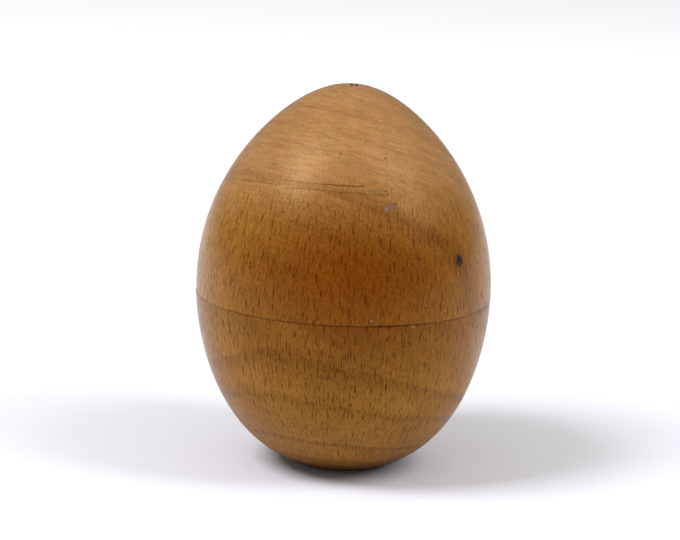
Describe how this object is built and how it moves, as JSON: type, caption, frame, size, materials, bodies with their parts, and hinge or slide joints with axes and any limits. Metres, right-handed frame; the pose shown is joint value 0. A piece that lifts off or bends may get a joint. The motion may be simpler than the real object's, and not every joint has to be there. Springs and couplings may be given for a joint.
{
  "type": "egg shaker",
  "caption": "Turned wooden egg shaker in two push-fitted hollow shells with loose steel shot inside.",
  "frame": {"origin": "centre of the flat foot, on the face the egg stands on", "axes": "+Z along the turning axis, from the foot to the crown; -Y is the side with the knot"},
  "size_m": [0.05, 0.05, 0.0653],
  "materials": {
    "beech": "satin aged varnish over fine-grained beech",
    "steel_shot": "polished steel, scuffed by use"
  },
  "bodies": {
    "lower_shell": {"lower_shell": "beech"},
    "upper_shell": {"upper_shell": "beech"},
    "shot_01": {"shot_01": "steel_shot"},
    "shot_02": {"shot_02": "steel_shot"},
    "shot_03": {"shot_03": "steel_shot"},
    "shot_04": {"shot_04": "steel_shot"},
    "shot_05": {"shot_05": "steel_shot"},
    "shot_06": {"shot_06": "steel_shot"},
    "shot_07": {"shot_07": "steel_shot"},
    "shot_08": {"shot_08": "steel_shot"},
    "shot_09": {"shot_09": "steel_shot"},
    "shot_10": {"shot_10": "steel_shot"},
    "shot_11": {"shot_11": "steel_shot"},
    "shot_12": {"shot_12": "steel_shot"},
    "shot_13": {"shot_13": "steel_shot"},
    "shot_14": {"shot_14": "steel_shot"},
    "shot_15": {"shot_15": "steel_shot"},
    "shot_16": {"shot_16": "steel_shot"},
    "shot_17": {"shot_17": "steel_shot"},
    "shot_18": {"shot_18": "steel_shot"},
    "shot_19": {"shot_19": "steel_shot"}
  },
  "joints": [
    {"name": "shell_pull", "type": "slide", "parent": "lower_shell", "child": "upper_shell", "axis": [0, 0, 1], "range_m": [0, 0.04]},
    {"name": "shot_01_rattle", "type": "slide", "parent": "lower_shell", "child": "shot_01", "axis": [0, 0, 1], "range_m": [0, 0.04962]},
    {"name": "shot_02_rattle", "type": "slide", "parent": "lower_shell", "child": "shot_02", "axis": [0, 0, 1], "range_m": [0, 0.0475]},
    {"name": "shot_03_rattle", "type": "slide", "parent": "lower_shell", "child": "shot_03", "axis": [0, 0, 1], "range_m": [0, 0.0475]},
    {"name": "shot_04_rattle", "type": "slide", "parent": "lower_shell", "child": "shot_04", "axis": [0, 0, 1], "range_m": [0, 0.0475]},
    {"name": "shot_05_rattle", "type": "slide", "parent": "lower_shell", "child": "shot_05", "axis": [0, 0, 1], "range_m": [0, 0.0475]},
    {"name": "shot_06_rattle", "type": "slide", "parent": "lower_shell", "child": "shot_06", "axis": [0, 0, 1], "range_m": [0, 0.0475]},
    {"name": "shot_07_rattle", "type": "slide", "parent": "lower_shell", "child": "shot_07", "axis": [0, 0, 1], "range_m": [0, 0.0475]},
    {"name": "shot_08_rattle", "type": "slide", "parent": "lower_shell", "child": "shot_08", "axis": [0, 0, 1], "range_m": [0, 0.04129]},
    {"name": "shot_09_rattle", "type": "slide", "parent": "lower_shell", "child": "shot_09", "axis": [0, 0, 1], "range_m": [0, 0.04129]},
    {"name": "shot_10_rattle", "type": "slide", "parent": "lower_shell", "child": "shot_10", "axis": [0, 0, 1], "range_m": [0, 0.04129]},
    {"name": "shot_11_rattle", "type": "slide", "parent": "lower_shell", "child": "shot_11", "axis": [0, 0, 1], "range_m": [0, 0.04129]},
    {"name": "shot_12_rattle", "type": "slide", "parent": "lower_shell", "child": "shot_12", "axis": [0, 0, 1], "range_m": [0, 0.04129]},
    {"name": "shot_13_rattle", "type": "slide", "parent": "lower_shell", "child": "shot_13", "axis": [0, 0, 1], "range_m": [0, 0.04129]},
    {"name": "shot_14_rattle", "type": "slide", "parent": "lower_shell", "child": "shot_14", "axis": [0, 0, 1], "range_m": [0, 0.04129]},
    {"name": "shot_15_rattle", "type": "slide", "parent": "lower_shell", "child": "shot_15", "axis": [0, 0, 1], "range_m": [0, 0.04129]},
    {"name": "shot_16_rattle", "type": "slide", "parent": "lower_shell", "child": "shot_16", "axis": [0, 0, 1], "range_m": [0, 0.04129]},
    {"name": "shot_17_rattle", "type": "slide", "parent": "lower_shell", "child": "shot_17", "axis": [0, 0, 1], "range_m": [0, 0.04129]},
    {"name": "shot_18_rattle", "type": "slide", "parent": "lower_shell", "child": "shot_18", "axis": [0, 0, 1], "range_m": [0, 0.04129]},
    {"name": "shot_19_rattle", "type": "slide", "parent": "lower_shell", "child": "shot_19", "axis": [0, 0, 1], "range_m": [0, 0.04129]}
  ]
}
